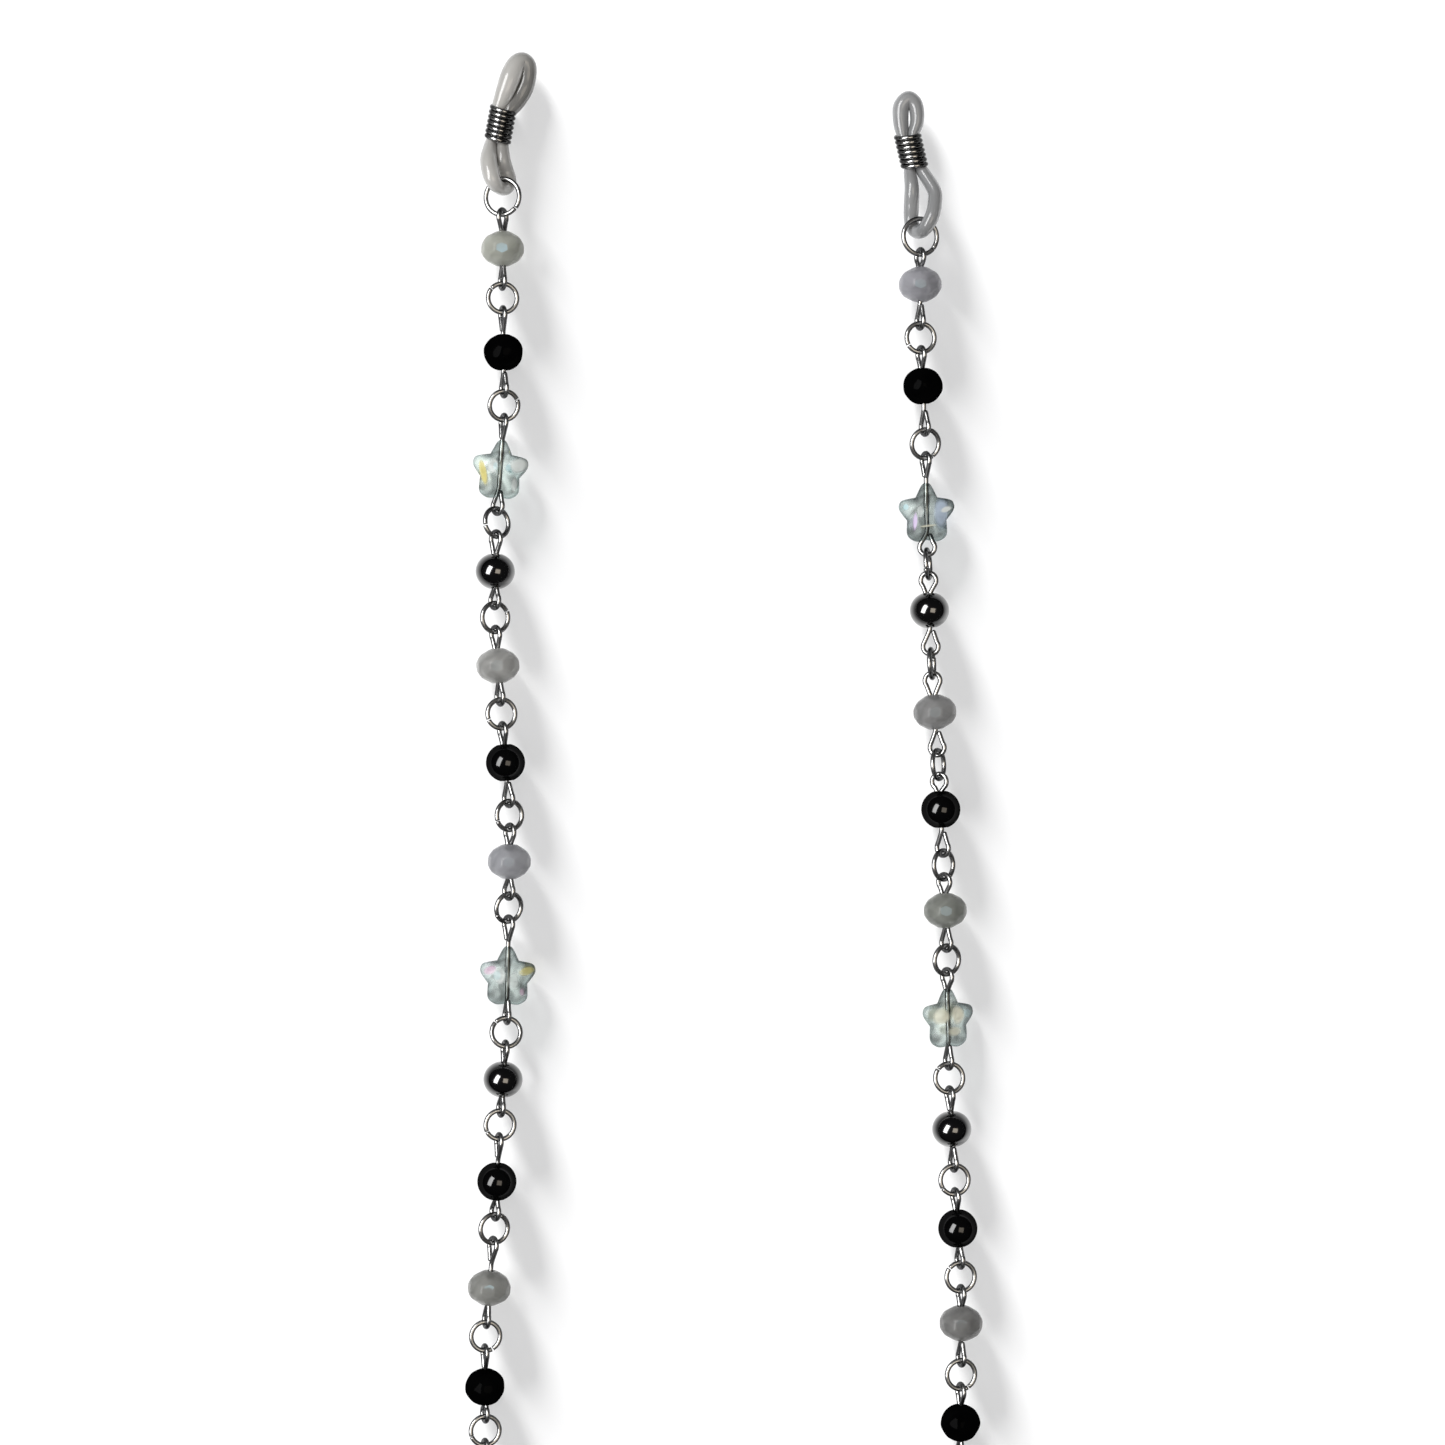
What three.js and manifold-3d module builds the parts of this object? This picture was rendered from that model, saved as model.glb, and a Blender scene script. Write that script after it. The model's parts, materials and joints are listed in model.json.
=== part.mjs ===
// A beaded eyeglass chain, laid out on a table: two strands of beads on double-eyed pins linked by
// jump rings, joined behind the neck, each ending in a silicone temple loop with a coil slider.
// Millimetres. +Z is up, +Y points from the neck bend to the temple loops, the table is z = 0.
import * as THREE from "three";
import { mergeVertices } from "three/addons/utils/BufferGeometryUtils.js";
import Module from "manifold-3d";

const wasm = await Module();
wasm.setup();

// ---- driving dimensions ----
const WIRE = 0.35; // radius of the steel wire of rings and pins
const RING = 2.15; // wire-centre radius of a 5 mm jump ring
const END_RING = 2.65; // wire-centre radius of the 6 mm ring on each temple loop
const EYE = 1.15; // wire-centre radius of a pin's eye
const EYE_GAP = 47; // degrees from the stem at which an eye's wire ends
const SEAM = 0.25; // open seam of a ring, along its wire
const SEAM_ANGLE = -35; // degrees, where a ring's seam sits
const WIRE_SIDES = 5;
const RING_STEPS = 10;
const HOOK_STEPS = 9;

const OPAL = { across: 6.0, along: 5.0, facets: 10, girdle: 0.5, face: 1.9 };
const BALL = { across: 5.8, along: 5.8 };
const FACETED = { across: 5.7, along: 5.7 };
const GUNMETAL = { across: 5.8, along: 5.4 };
const STAR = { tip: 4.6, notch: 2.9, crown: 2.0, rim: 0.6, points: 5 };

const CORD = 1.05; // radius of the silicone cord
const CORD_SIDES = 8;
const SLIDER = { radius: 1.7, wire: 0.33, length: 5.6, turns: 7, stepsPerTurn: 8, sides: 4 };
// The slider squeezes the two cords together along the waist. They part by WAIST.spread at each end
// of the slider's travel, so the slider can pass over them that far.
const WAIST = { radius: 1.06, half: 4.6, spread: 0.2, templeEnd: 5.25, ringEnd: 4.35 };

const NECK_SECTIONS = 5;
const NECK_ROD = 0.7; // radius of the plain rod between the beads of a neck section
const NECK_DEPTH = 127; // how far the control points of the neck bend lie past the last rings
const NECK_BEADS = [
  "opal", "faceted", "star", "gunmetal", "opal", "ball", "opal", "star",
  "opal", "ball", "opal", "gunmetal", "star", "faceted", "opal",
];
const NECK_ROLL = 22;

// Each strand runs from its end ring towards the neck. A row is one bead on its pin:
// bead, ring-to-ring reach, heading (0 is straight towards the neck, + turns towards +X),
// how far the bead has slid towards the temple, roll of the ring above it, turn of the bead.
const LEFT_STRAND = {
  start: [-32.6, 77.9],
  lastRoll: 15,
  rows: [
    ["opal", 15.0, 0, -0.2, -18, 0],
    ["faceted", 15.9, 1, -0.1, 12, 0],
    ["star", 17.4, -4, -0.9, 16, 0],
    ["gunmetal", 14.1, -1, -0.2, 40, 0],
    ["opal", 14.3, 4, 0, 32, 0],
    ["ball", 15.1, 5, 0.3, 22, 0],
    ["opal", 13.7, -1, 0, 34, 0],
    ["star", 18.5, -1, -1.0, 35, 0],
    ["gunmetal", 13.7, -4, -0.1, 12, 0],
    ["ball", 15.4, -3, -0.7, 14, 0],
    ["opal", 16.0, -5, -0.8, 25, 0],
    ["faceted", 14.0, 0, -0.5, 12, 0],
  ],
};
const RIGHT_STRAND = {
  start: [29.3, 72.0],
  lastRoll: 15,
  rows: [
    ["opal", 15.0, 0, 0.4, 18, 0],
    ["faceted", 15.7, 3, 0.7, 14, 0],
    ["star", 17.8, 1, -1.4, 18, 0],
    ["gunmetal", 14.8, 2, 0.5, 78, 0],
    ["opal", 15.0, 4, 0.3, 78, 0],
    ["ball", 14.9, 3, 0.8, 64, 0],
    ["opal", 14.1, 2, 0.3, 45, 0],
    ["star", 17.5, 1, 0, 30, 25],
    ["gunmetal", 15.1, 3, 0, 14, 0],
    ["ball", 14.4, 4, 0, 12, 0],
    ["opal", 14.5, 0, 0.4, 12, 0],
    ["faceted", 14.6, -1, 0.2, 12, 0],
  ],
};

// Temple loops: the slider's centre and lean, then each half of the cord's route past the waist.
// The upper halves meet at the top of the lobe and are given in the slider's own frame. The lower
// halves are given from the end ring's centre: one passes under the ring and one over it.
const LEFT_LOOP = {
  centre: [-33.0, 88.8],
  lean: 10.5,
  upperLeft: [[-0.6, 6.8, 0], [-0.4, 8.4, 0], [1.2, 10.0, 0]],
  upperRight: [[2.2, 6.9, 0], [2.6, 8.4, 0], [1.0, 10.0, 0]],
  lowerLeft: [[-2.1, 5.8, 0.5], [-1.9, 4.0, 1.2], [-1.5, 2.4, 1.7], [-0.7, 1.15, 1.1],
    [0.1, 0.9, -0.1]],
  lowerRight: [[0.3, 5.2, -0.9], [0.8, 3.8, -1.3], [1.2, 2.4, -1.7], [0.7, 1.15, -1.1],
    [-0.1, 0.9, 0.1]],
};
const RIGHT_LOOP = {
  centre: [28.0, 84.5],
  lean: -13,
  upperLeft: [[-0.5, 6.6, 0], [0.2, 7.8, 0], [1.3, 8.0, 0]],
  upperRight: [[1.7, 6.4, 0], [2.2, 7.4, 0], [1.1, 8.05, 0]],
  lowerLeft: [[-1.0, 6.6, -0.7], [-1.3, 4.4, -1.3], [-1.4, 2.5, -1.6], [-0.7, 1.15, -1.0],
    [0.1, 0.9, 0.1]],
  lowerRight: [[1.7, 6.9, -0.3], [2.3, 4.6, 1.0], [1.6, 2.5, 1.75], [0.7, 1.15, 1.1],
    [-0.1, 0.9, -0.1]],
};

// ---- materials ----
const finish = (color, roughness, metalness, extra = {}) =>
  new THREE.MeshStandardMaterial({ color, roughness, metalness, ...extra });
const MATERIALS = {
  opal: () => finish(0xa8a9b4, 0.15, 0.0),
  ball: () => finish(0x0b0c0d, 0.12, 0.1),
  faceted: () => finish(0x0d0e0f, 0.15, 0.1),
  gunmetal: () => finish(0x3a3c40, 0.15, 0.95),
  star: () => finish(0xb9c4c0, 0.08, 0.0),
  steel: () => finish(0x77797c, 0.22, 1.0),
  silicone: () => finish(0xc4c6ca, 0.45, 0.0),
};

const group = new THREE.Group();
const radians = THREE.MathUtils.degToRad;

function add(name, geometry, material, matrix) {
  const mesh = new THREE.Mesh(geometry, material);
  mesh.name = name;
  if (matrix) {
    mesh.applyMatrix4(matrix);
  }
  group.add(mesh);
}

// ---- solids ----
function toSolid(geometry, matrix) {
  const bare = geometry.clone();
  if (matrix) {
    bare.applyMatrix4(matrix);
  }
  bare.deleteAttribute("normal");
  bare.deleteAttribute("uv");
  const merged = mergeVertices(bare, 1e-4);
  return new wasm.Manifold(new wasm.Mesh({
    numProp: 3,
    vertProperties: merged.attributes.position.array,
    triVerts: new Uint32Array(merged.index.array),
  }));
}

function join(geometries) {
  const solid = geometries.map((g) => toSolid(g)).reduce((whole, next) => whole.add(next));
  const mesh = solid.getMesh();
  const geometry = new THREE.BufferGeometry();
  geometry.setAttribute("position", new THREE.BufferAttribute(mesh.vertProperties, 3));
  geometry.setIndex(new THREE.BufferAttribute(mesh.triVerts, 1));
  return geometry;
}

function section(radius, sides) {
  const corner = (_, i) => {
    const angle = (2 * Math.PI * (i + 0.5)) / sides;
    return new THREE.Vector2(radius * Math.cos(angle), radius * Math.sin(angle));
  };
  return new THREE.Shape(Array.from({ length: sides }, corner));
}

function sweep(path, radius, sides, steps) {
  return new THREE.ExtrudeGeometry(section(radius, sides), { extrudePath: path, steps });
}

function smooth(points) {
  return new THREE.CatmullRomCurve3(points, false, "centripetal");
}

class RingWire extends THREE.Curve {
  constructor(radius) {
    super();
    this.radius = radius;
  }

  getPoint(t, target = new THREE.Vector3()) {
    const gap = SEAM / this.radius;
    const angle = radians(SEAM_ANGLE) + gap / 2 + t * (2 * Math.PI - gap);
    return target.set(this.radius * Math.cos(angle), this.radius * Math.sin(angle), 0);
  }
}

class CoilWire extends THREE.Curve {
  getPoint(t, target = new THREE.Vector3()) {
    const angle = 2 * Math.PI * SLIDER.turns * t;
    const along = (t - 0.5) * (SLIDER.length - 2 * SLIDER.wire);
    return target.set(SLIDER.radius * Math.cos(angle), along, SLIDER.radius * Math.sin(angle));
  }
}

const ringGeometry = (radius) => sweep(new RingWire(radius), WIRE, WIRE_SIDES, RING_STEPS);

// A pin's hook: an eye centred on the origin in the XY plane, its stem running down -Y.
function hookGeometry(stemEnd) {
  const points = [new THREE.Vector3(0, -stemEnd, 0), new THREE.Vector3(0, -EYE - 0.45, 0)];
  const from = 245;
  const to = -90 + EYE_GAP;
  for (let angle = from; angle >= to - 1; angle -= (from - to) / 7) {
    points.push(new THREE.Vector3(EYE * Math.cos(radians(angle)), EYE * Math.sin(radians(angle)), 0));
  }
  return sweep(smooth(points), WIRE, WIRE_SIDES, HOOK_STEPS);
}

function opalGeometry() {
  const half = OPAL.along / 2;
  const outline = [[0, -half], [OPAL.face, -half], [OPAL.across / 2, -OPAL.girdle],
    [OPAL.across / 2, OPAL.girdle], [OPAL.face, half], [0, half]];
  const points = outline.map(([r, y]) => new THREE.Vector2(r, y));
  return new THREE.LatheGeometry(points, OPAL.facets, Math.PI / OPAL.facets);
}

function ballGeometry({ across, along }) {
  return new THREE.IcosahedronGeometry(across / 2, 1).scale(1, along / across, 1);
}

// A puffed star standing on its notch, with one tip towards +Y and its flat faces across Z.
function starGeometry() {
  const count = 2 * STAR.points;
  const positions = [0, 0, STAR.crown, 0, 0, -STAR.crown];
  const triangles = [];
  for (let i = 0; i < count; i += 1) {
    const angle = Math.PI / 2 + (2 * Math.PI * i) / count;
    const radius = i % 2 ? STAR.notch : STAR.tip;
    for (const z of [STAR.rim, -STAR.rim]) {
      positions.push(radius * Math.cos(angle), radius * Math.sin(angle), z);
    }
    const here = 2 + 2 * i;
    const next = 2 + 2 * ((i + 1) % count);
    triangles.push(0, here, next, 1, next + 1, here + 1);
    triangles.push(here, here + 1, next, next, here + 1, next + 1);
  }
  const geometry = new THREE.BufferGeometry();
  geometry.setAttribute("position", new THREE.Float32BufferAttribute(positions, 3));
  geometry.setIndex(triangles);
  return geometry;
}

const BEADS = {
  opal: { shape: opalGeometry, half: OPAL.along / 2,
    height: (OPAL.across / 2) * Math.cos(Math.PI / OPAL.facets) },
  ball: { shape: () => ballGeometry(BALL), half: BALL.along / 2, height: BALL.across / 2 },
  faceted: { shape: () => ballGeometry(FACETED), half: FACETED.along / 2,
    height: FACETED.across / 2 },
  gunmetal: { shape: () => ballGeometry(GUNMETAL), half: GUNMETAL.along / 2,
    height: GUNMETAL.across / 2 },
  star: { shape: starGeometry, half: STAR.notch, height: STAR.crown },
};

const restingHeight = (kind, turn) =>
  Math.max(BEADS[kind].height, STAR.tip * Math.sin(Math.abs(radians(turn))) + STAR.rim);

// ---- laying the chain out ----
const headingVector = (degrees) =>
  new THREE.Vector3(Math.sin(radians(degrees)), -Math.cos(radians(degrees)), 0);

function strandStations(strand) {
  const stations = [new THREE.Vector3(...strand.start, 0)];
  for (const [, reach, heading] of strand.rows) {
    stations.push(stations.at(-1).clone().addScaledVector(headingVector(heading), reach));
  }
  return stations;
}

// One pin between two ring stations: its direction, its two contact points and its bead's centre.
function pinLine(from, to, fromRadius, kind, slide = 0, turn = 0) {
  const along = to.clone().sub(from).normalize();
  const height = kind === "star" ? restingHeight(kind, turn) : BEADS[kind].height;
  const top = from.clone().addScaledVector(along, fromRadius).setZ(height);
  const bottom = to.clone().addScaledVector(along, -RING).setZ(height);
  const bead = from.clone().lerp(to, 0.5).addScaledVector(along, -slide).setZ(height);
  return { along, top, bottom, bead, kind, turn };
}

// The frame of a ring through two contact points: X across, Y from the lower contact to the
// upper one, Z its axis, rolled about Y so that a positive roll lifts the -X side.
function ringFrame(upper, lower, roll) {
  const y = upper.clone().sub(lower).normalize();
  const x = new THREE.Vector3(y.y, -y.x, 0).normalize();
  const z = x.clone().cross(y);
  const turned = new THREE.Matrix4().makeBasis(x, y, z);
  turned.multiply(new THREE.Matrix4().makeRotationY(radians(roll)));
  return turned.setPosition(upper.clone().lerp(lower, 0.5));
}

const axisOf = (matrix, column) => new THREE.Vector3().setFromMatrixColumn(matrix, column);

// The pin's own frame: Y towards the temple, Z up.
function pinFrame(line) {
  const y = line.along.clone().negate();
  const z = new THREE.Vector3(0, 0, 1);
  return new THREE.Matrix4().makeBasis(y.clone().cross(z), y, z).setPosition(line.bead);
}

// Turns a hook about the pin so that its eye stands square across the ring's wire.
function eyeTurn(frame, ring) {
  const across = axisOf(ring, 0).transformDirection(frame.clone().invert());
  return Math.atan2(across.x, across.z);
}

function placedHook(frame, contact, ring, down) {
  const arm = contact.distanceTo(new THREE.Vector3().setFromMatrixPosition(frame));
  const hook = hookGeometry(arm - 1.2);
  if (down) {
    hook.rotateZ(Math.PI);
  }
  return hook.rotateY(eyeTurn(frame, ring)).translate(0, down ? -arm : arm, 0);
}

function linkGeometry(line, frame, upperRing, lowerRing) {
  const bead = BEADS[line.kind].shape().rotateY(radians(line.turn));
  const upper = placedHook(frame, line.top, upperRing, false);
  const lower = placedHook(frame, line.bottom, lowerRing, true);
  return join([bead, upper, lower]);
}

function buildStrand(side, strand, neckLine) {
  const stations = strandStations(strand);
  const lines = strand.rows.map(([kind, , , slide, , turn], i) =>
    pinLine(stations[i], stations[i + 1], i ? RING : END_RING, kind, slide, turn));
  const rolls = [...strand.rows.map((row) => row[4]), strand.lastRoll];
  const first = stations[0].clone().setZ(lines[0].top.z);
  const endContact = first.clone().addScaledVector(lines[0].along, -END_RING);
  const uppers = [endContact, ...lines.map((line) => line.bottom)];
  const lowers = [...lines.map((line) => line.top), neckLine];
  const rings = rolls.map((roll, i) => ringFrame(uppers[i], lowers[i], roll));
  add(`${side}_end_ring`, ringGeometry(END_RING), MATERIALS.steel(), rings[0]);
  lines.forEach((line, i) => {
    const number = String(i + 1).padStart(2, "0");
    const frame = pinFrame(line);
    const geometry = linkGeometry(line, frame, rings[i], rings[i + 1]);
    add(`${side}_bead_${number}_${line.kind}`, geometry, MATERIALS[line.kind](), frame);
    add(`${side}_jump_ring_${number}`, ringGeometry(RING), MATERIALS.steel(), rings[i + 1]);
  });
  return rings;
}

// ---- the neck ----
function neckStations(left, right) {
  const depth = new THREE.Vector3(0, -NECK_DEPTH, 0);
  const bend = new THREE.CubicBezierCurve3(left, left.clone().add(depth),
    right.clone().add(depth), right);
  bend.arcLengthDivisions = 800;
  const reach = (kind) => (kind === "star" ? 17.6 : 15.1);
  const total = NECK_BEADS.reduce((sum, kind) => sum + reach(kind), 0);
  let along = 0;
  const stations = [left.clone()];
  for (const kind of NECK_BEADS) {
    along += reach(kind);
    stations.push(bend.getPointAt(Math.min(1, along / total)));
  }
  return stations;
}

function bar(from, to, radius) {
  return sweep(new THREE.LineCurve3(from, to), radius, WIRE_SIDES, 1);
}

// Beads joined by plain rods, with an eye or a fused ring at each end.
function neckSectionGeometry(lines, startRing, endRing) {
  const pieces = [];
  lines.forEach((line, i) => {
    pieces.push(BEADS[line.kind].shape().applyMatrix4(pinFrame(line)));
    if (i) {
      const before = lines[i - 1];
      const middle = before.bottom.clone().lerp(line.top, 0.5);
      pieces.push(bar(before.bead, middle.clone().addScaledVector(before.along, 0.4), NECK_ROD));
      pieces.push(bar(middle.clone().addScaledVector(line.along, -0.4), line.bead, NECK_ROD));
    }
  });
  const ends = [
    { line: lines[0], ring: startRing, contact: lines[0].top, down: false },
    { line: lines.at(-1), ring: endRing, contact: lines.at(-1).bottom, down: true },
  ];
  for (const { line, ring, contact, down } of ends) {
    if (ring.fused) {
      pieces.push(ringGeometry(RING).applyMatrix4(ring.frame));
      pieces.push(bar(line.bead, contact, NECK_ROD));
    } else {
      const frame = pinFrame(line);
      pieces.push(placedHook(frame, contact, ring.frame, down).applyMatrix4(frame));
    }
  }
  return join(pieces);
}

function neckLines(stations) {
  return NECK_BEADS.map((kind, i) => pinLine(stations[i], stations[i + 1], RING, kind));
}

function buildNeck(lines, leftRing, rightRing) {
  const perSection = NECK_BEADS.length / NECK_SECTIONS;
  const middle = (NECK_SECTIONS - 1) / 2;
  const between = [{ frame: leftRing, fused: false }];
  for (let k = 1; k < NECK_SECTIONS; k += 1) {
    const at = k * perSection;
    between.push({ frame: ringFrame(lines[at - 1].bottom, lines[at].top, NECK_ROLL) });
  }
  between.push({ frame: rightRing, fused: false });
  for (let k = 0; k < NECK_SECTIONS; k += 1) {
    const own = lines.slice(k * perSection, (k + 1) * perSection);
    const start = { ...between[k], fused: k > middle };
    const end = { ...between[k + 1], fused: k < middle };
    add(`neck_section_${k + 1}`, neckSectionGeometry(own, start, end), MATERIALS.opal());
  }
}

// ---- temple loops ----
function sliderFrame(loop) {
  const frame = new THREE.Matrix4().makeRotationZ(radians(-loop.lean));
  return frame.setPosition(...loop.centre, SLIDER.radius + SLIDER.wire);
}

function buildLoop(name, loop, endRing) {
  const frame = sliderFrame(loop);
  const ringCentre = new THREE.Vector3().setFromMatrixPosition(endRing);
  const inWaist = (x, y) => new THREE.Vector3(x, y, 0).applyMatrix4(frame);
  const fromSlider = ([x, y, z]) => new THREE.Vector3(x, y, z).applyMatrix4(frame);
  const fromRing = ([x, y, z]) => new THREE.Vector3(x, y, z).add(ringCentre);
  const start = WAIST.half - 2.2;
  const half = (side, way, end, points) => {
    const route = [inWaist(0.3 * side * WAIST.spread, way * start),
      inWaist(side * WAIST.spread, way * end), ...points];
    return sweep(smooth(route), CORD, CORD_SIDES, 8);
  };
  const cord = join([
    sweep(new THREE.LineCurve3(inWaist(0, -WAIST.half), inWaist(0, WAIST.half)),
      WAIST.radius, CORD_SIDES, 1),
    half(-1, 1, WAIST.templeEnd, loop.upperLeft.map(fromSlider)),
    half(1, 1, WAIST.templeEnd, loop.upperRight.map(fromSlider)),
    half(-1, -1, WAIST.ringEnd, loop.lowerLeft.map(fromRing)),
    half(1, -1, WAIST.ringEnd, loop.lowerRight.map(fromRing)),
  ]);
  const coil = sweep(new CoilWire(), SLIDER.wire, SLIDER.sides, SLIDER.turns * SLIDER.stepsPerTurn);
  add(`${name}_temple_loop`, cord, MATERIALS.silicone());
  add(`${name}_coil_slider`, coil, MATERIALS.steel(), frame);
}

const leftStations = strandStations(LEFT_STRAND);
const rightStations = strandStations(RIGHT_STRAND);
const bendLines = neckLines(neckStations(leftStations.at(-1), rightStations.at(-1)));
const leftRings = buildStrand("left", LEFT_STRAND, bendLines[0].top);
const rightRings = buildStrand("right", RIGHT_STRAND, bendLines.at(-1).bottom);
buildNeck(bendLines, leftRings.at(-1), rightRings.at(-1));
buildLoop("left", LEFT_LOOP, leftRings[0]);
buildLoop("right", RIGHT_LOOP, rightRings[0]);

// The origin is the middle of the base of the whole chain.
group.updateMatrixWorld(true);
const box = new THREE.Box3().setFromObject(group, true);
group.position.set(-(box.min.x + box.max.x) / 2, -(box.min.y + box.max.y) / 2, -box.min.z);

export default group;
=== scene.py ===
"""A beaded eyeglass chain lying on a white table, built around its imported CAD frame.

Lengths are in millimetres until a mesh is made. A pin's own frame has +Y towards the temple loop
and +Z up; a ring's own frame has +Y towards the temple loop and +Z along the ring's axis.
"""

import json
import math
import random

import bmesh
import bpy
from mathutils import Matrix, Vector


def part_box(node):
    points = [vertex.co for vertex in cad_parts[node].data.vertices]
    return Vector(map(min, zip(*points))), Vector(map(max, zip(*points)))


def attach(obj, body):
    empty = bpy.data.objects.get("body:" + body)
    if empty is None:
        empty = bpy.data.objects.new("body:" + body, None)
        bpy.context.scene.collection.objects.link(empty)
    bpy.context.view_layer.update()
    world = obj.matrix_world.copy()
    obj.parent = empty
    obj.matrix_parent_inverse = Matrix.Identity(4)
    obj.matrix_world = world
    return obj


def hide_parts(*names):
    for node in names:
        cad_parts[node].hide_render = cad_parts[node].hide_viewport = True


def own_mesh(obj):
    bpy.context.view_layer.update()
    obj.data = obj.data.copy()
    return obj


MM = 0.001
WIRE = 0.35  # radius of the steel wire
RING = 2.15  # wire-centre radius of a jump ring
END_RING = 2.65  # wire-centre radius of the ring on each temple loop
SEAM = 0.1  # half of the seam of a ring
SEAM_STEP = 0.05  # how far each end of a ring's wire stands off the ring's plane
SEAM_TURNS = (-150, -60, 25, 70, 140, 200)  # degrees: where a jump ring's seam may lie
END_RING_SEAM = -40
NECK_SEAM_STEP = 37

EYE = 1.15  # wire-centre radius of a pin's eye
EYE_SLACK = 0.38  # the eye's centre lies this far behind the ring wire that it hangs on
EYE_TWIST = math.radians(10)  # the most that an eye stands askew on a ring lying flat
EYE_WRAP = 0.93  # how wide the teardrop is left open, as a share of its sides being tangents
LONGEST_EYE = 2.2  # the furthest that an eye's neck lies from its centre
EYE_INSET = 0.15  # how far an eye's neck may start inside the bead
STEM_SIDE = 0.20  # how far the stem bends aside at the neck, away from the wire's end
TAIL_SIDE = 0.50  # how far to the other side the wire's end comes to rest
STEM = 1.5  # half of the straight wire inside a bead
OUTSIDE_PIN = 2.0  # further than this from the pin's line, a node's points are the bead's

# The turns of a coil lean: their tops lie towards the ring, their left sides towards the temple.
# The whole coil is shifted towards the temple from where the CAD slider lies.
COIL = {
    "radius": 1.71, "wire": 0.34, "length": 5.7, "turns": 7,
    "lean_back": 0.26, "lean_side": 0.03, "shift": 0.35,
}

# A star's outline has a tip radius and three notch depths, from the top notches down.
STAR = {
    "points": 5, "tip": 4.6, "notches": (2.95, 3.3, 3.95), "narrow": 0.93,
    "overrun": 1.2,  # how far past the rounded tip its straight sides would meet
    "blend": 14,  # a higher number gives crisper corners
    "crown": 2.0, "rim": 0.8,  # half thickness in the middle and near the rim
    "puff": 1.3, "edge": 7,  # powers that shape the slope to the rim and the rim's roundness
}

# How a cut bead is ground: rows of facets are (tilt towards the ends, distance, half-facet turns).
CUTS = {
    "opal": {
        "rows": [(0, 3.07, 0), (34, 3.0, 1), (60, 2.74, 0)], "count": 10, "end": 2.6,
        "jitter": 0.04, "sharpness": 44, "variants": 3, "seed": 40,
    },
    "faceted": {
        "rows": [(0, 2.82, 0), (33, 2.86, 1), (62, 2.86, 0)], "count": 9, "end": 2.84,
        "jitter": 0.08, "sharpness": 22, "variants": 2, "seed": 9,
    },
}
CUT_HOLE = {"depth": 0.35, "radius": 0.62}
ROUND_HOLE = {"depth": 0.5, "radius": 0.65}
BALL_RADIUS = 2.9
# Half of each bead's length along its pin, and how high a neck bead's middle is off the table.
HALF_LENGTH = {"opal": 2.6, "ball": 2.85, "faceted": 2.8, "gunmetal": 2.7, "star": 3.3}
RESTING_HEIGHT = {"opal": 2.853, "ball": 2.9, "faceted": 2.85, "gunmetal": 2.9, "star": 2.0}

NECK_SECTIONS = 5
BEADS_PER_SECTION = 3
NECK_DEPTH = 127.0  # length of the handles of the curve that the neck follows
NECK_ROLL = 22.0  # degrees that a neck ring leans to one side
NECK_PITCH = 15.1  # from one neck ring to the next over a plain bead
NECK_STAR_PITCH = 17.6
NECK_BEADS = (
    "opal", "faceted", "star", "gunmetal", "opal", "ball", "opal", "star",
    "opal", "ball", "opal", "gunmetal", "star", "faceted", "opal",
)
SLOTS = {
    "opal": "opal_glass", "ball": "black_glass", "faceted": "black_glass",
    "gunmetal": "gunmetal", "star": "clear_glass",
}

WHITE = (0.90, 0.95, 0.93)
CYAN = (0.62, 0.86, 0.90)
BLUE = (0.60, 0.71, 0.87)
GOLD = (0.85, 0.75, 0.25)
CREAM = (0.90, 0.88, 0.70)
PINK = (0.85, 0.55, 0.75)
LILAC = (0.80, 0.66, 0.95)
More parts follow.
